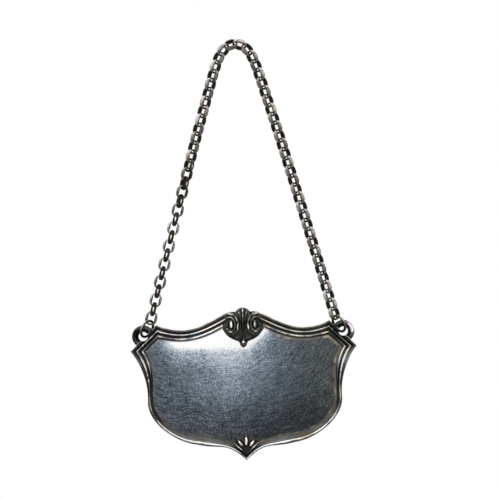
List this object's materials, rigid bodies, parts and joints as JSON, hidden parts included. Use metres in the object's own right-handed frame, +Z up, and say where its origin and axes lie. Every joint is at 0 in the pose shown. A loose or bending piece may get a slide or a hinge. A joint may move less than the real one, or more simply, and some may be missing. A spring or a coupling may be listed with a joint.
{
  "type": "decanter label",
  "caption": "Blank shield-shaped decanter label with a reeded border, scroll crest and leaf, hung from two jump rings by one loop of oval belcher links.",
  "frame": {"origin": "where the two topmost links bear on each other, the middle of the loop's top, which lies over a bottle's neck or a hook", "axes": "+Z up with the label hanging straight down, -Y the label's front, X along the label's width"},
  "size_m": [0.0566, 0.0042, 0.1052],
  "materials": {
    "field": "old polished silver, blue-grey, with a web of fine wiping scratches",
    "border": "bright rubbed silver reeds with black tarnish left in the grooves",
    "chased": "rubbed silver relief on a dark oxidised ground",
    "ear": "polished silver bead with a dark groove",
    "chain": "grey-olive tarnished silver, brighter on the outer edges of the links"
  },
  "bodies": {
    "crown_links": {"left_link_01": "chain", "right_link_01": "chain"},
    "rung_02": {"left_link_02": "chain", "right_link_02": "chain"},
    "rung_03": {"left_link_03": "chain", "right_link_03": "chain"},
    "rung_04": {"left_link_04": "chain", "right_link_04": "chain"},
    "rung_05": {"left_link_05": "chain", "right_link_05": "chain"},
    "rung_06_07": {"left_links_06_07": "chain", "right_links_06_07": "chain"},
    "rung_08": {"left_link_08": "chain", "right_link_08": "chain"},
    "rung_09": {"left_link_09": "chain", "right_link_09": "chain"},
    "rung_10_11": {"left_links_10_11": "chain", "right_links_10_11": "chain"},
    "rung_12": {"left_link_12": "chain", "right_link_12": "chain"},
    "rung_13": {"left_link_13": "chain", "right_link_13": "chain"},
    "rung_14_15": {"left_links_14_15": "chain", "right_links_14_15": "chain"},
    "rung_16": {"left_link_16": "chain", "right_link_16": "chain"},
    "rung_17": {"left_link_17": "chain", "right_link_17": "chain"},
    "rung_18_19": {"left_links_18_19": "chain", "right_links_18_19": "chain"},
    "rung_20": {"left_link_20": "chain", "right_link_20": "chain"},
    "rung_21": {"left_link_21": "chain", "right_link_21": "chain"},
    "rung_22_23": {"left_links_22_23": "chain", "right_links_22_23": "chain"},
    "rung_24": {"left_link_24": "chain", "right_link_24": "chain"},
    "rung_25": {"left_link_25": "chain", "right_link_25": "chain"},
    "rung_26_27": {"left_links_26_27": "chain", "right_links_26_27": "chain"},
    "rung_28": {"left_link_28": "chain", "right_link_28": "chain"},
    "rung_29": {"left_link_29": "chain", "right_link_29": "chain"},
    "rung_30": {"left_link_30": "chain", "right_link_30": "chain"},
    "rung_31": {"left_link_31": "chain", "right_link_31": "chain"},
    "rung_32": {"left_link_32": "chain", "right_link_32": "chain"},
    "jump_rings": {"left_jump_ring": "chain", "right_jump_ring": "chain"},
    "label": {"back_plate": "field", "reeded_border": "border", "crest_ornament": "chased", "leaf_ornament": "chased", "left_ear": "ear", "right_ear": "ear"}
  },
  "joints": [
    {"name": "link_fold_01", "type": "hinge", "parent": "crown_links", "child": "rung_02", "pos_m": [0, 0, -0.00071], "axis": [1, 0, 0], "range_deg": [-9, 9]},
    {"name": "link_fold_02", "type": "hinge", "parent": "rung_02", "child": "rung_03", "pos_m": [0, 0, -0.00249], "axis": [-1, 0, 0], "range_deg": [-25, 25]},
    {"name": "link_fold_03", "type": "hinge", "parent": "rung_03", "child": "rung_04", "pos_m": [0, 0, -0.00459], "axis": [1, 0, 0], "range_deg": [-25, 25]},
    {"name": "link_fold_04", "type": "hinge", "parent": "rung_04", "child": "rung_05", "pos_m": [0, 0, -0.00678], "axis": [-1, 0, 0], "range_deg": [-25, 25]},
    {"name": "link_fold_05", "type": "hinge", "parent": "rung_05", "child": "rung_06_07", "pos_m": [0, 0, -0.00899], "axis": [1, 0, 0], "range_deg": [-25, 25]},
    {"name": "link_fold_06", "type": "hinge", "parent": "rung_06_07", "child": "rung_08", "pos_m": [0, 0, -0.01343], "axis": [-1, 0, 0], "range_deg": [-25, 25]},
    {"name": "link_fold_07", "type": "hinge", "parent": "rung_08", "child": "rung_09", "pos_m": [0, 0, -0.01565], "axis": [1, 0, 0], "range_deg": [-25, 25]},
    {"name": "link_fold_08", "type": "hinge", "parent": "rung_09", "child": "rung_10_11", "pos_m": [0, 0, -0.01787], "axis": [-1, 0, 0], "range_deg": [-25, 25]},
    {"name": "link_fold_09", "type": "hinge", "parent": "rung_10_11", "child": "rung_12", "pos_m": [0, 0, -0.02232], "axis": [1, 0, 0], "range_deg": [-25, 25]},
    {"name": "link_fold_10", "type": "hinge", "parent": "rung_12", "child": "rung_13", "pos_m": [0, 0, -0.02455], "axis": [-1, 0, 0], "range_deg": [-25, 25]},
    {"name": "link_fold_11", "type": "hinge", "parent": "rung_13", "child": "rung_14_15", "pos_m": [0, 0, -0.02678], "axis": [1, 0, 0], "range_deg": [-25, 25]},
    {"name": "link_fold_12", "type": "hinge", "parent": "rung_14_15", "child": "rung_16", "pos_m": [0, 0, -0.03123], "axis": [-1, 0, 0], "range_deg": [-25, 25]},
    {"name": "link_fold_13", "type": "hinge", "parent": "rung_16", "child": "rung_17", "pos_m": [0, 0, -0.03346], "axis": [1, 0, 0], "range_deg": [-25, 25]},
    {"name": "link_fold_14", "type": "hinge", "parent": "rung_17", "child": "rung_18_19", "pos_m": [0, 0, -0.03569], "axis": [-1, 0, 0], "range_deg": [-25, 25]},
    {"name": "link_fold_15", "type": "hinge", "parent": "rung_18_19", "child": "rung_20", "pos_m": [0, 0, -0.04016], "axis": [1, 0, 0], "range_deg": [-25, 25]},
    {"name": "link_fold_16", "type": "hinge", "parent": "rung_20", "child": "rung_21", "pos_m": [0, 0, -0.04239], "axis": [-1, 0, 0], "range_deg": [-25, 25]},
    {"name": "link_fold_17", "type": "hinge", "parent": "rung_21", "child": "rung_22_23", "pos_m": [0, 0, -0.04463], "axis": [1, 0, 0], "range_deg": [-25, 25]},
    {"name": "link_fold_18", "type": "hinge", "parent": "rung_22_23", "child": "rung_24", "pos_m": [0, 0, -0.0491], "axis": [-1, 0, 0], "range_deg": [-25, 25]},
    {"name": "link_fold_19", "type": "hinge", "parent": "rung_24", "child": "rung_25", "pos_m": [0, 0, -0.05133], "axis": [1, 0, 0], "range_deg": [-25, 25]},
    {"name": "link_fold_20", "type": "hinge", "parent": "rung_25", "child": "rung_26_27", "pos_m": [0, 0, -0.05357], "axis": [-1, 0, 0], "range_deg": [-25, 25]},
    {"name": "link_fold_21", "type": "hinge", "parent": "rung_26_27", "child": "rung_28", "pos_m": [0, 0, -0.05804], "axis": [1, 0, 0], "range_deg": [-25, 25]},
    {"name": "link_fold_22", "type": "hinge", "parent": "rung_28", "child": "rung_29", "pos_m": [0, 0, -0.06028], "axis": [-1, 0, 0], "range_deg": [-25, 25]},
    {"name": "link_fold_23", "type": "hinge", "parent": "rung_29", "child": "rung_30", "pos_m": [0, 0, -0.06251], "axis": [1, 0, 0], "range_deg": [-25, 25]},
    {"name": "link_fold_24", "type": "hinge", "parent": "rung_30", "child": "rung_31", "pos_m": [0, 0, -0.06475], "axis": [-1, 0, 0], "range_deg": [-25, 25]},
    {"name": "link_fold_25", "type": "hinge", "parent": "rung_31", "child": "rung_32", "pos_m": [0, 0, -0.06698], "axis": [1, 0, 0], "range_deg": [-25, 25]},
    {"name": "jump_ring_swing", "type": "hinge", "parent": "rung_32", "child": "jump_rings", "pos_m": [0, 0, -0.06922], "axis": [1, 0, 0], "range_deg": [-7, 32]},
    {"name": "ear_swing", "type": "hinge", "parent": "jump_rings", "child": "label", "pos_m": [0, 0, -0.07265], "axis": [1, 0, 0], "range_deg": [-32, 17]}
  ]
}
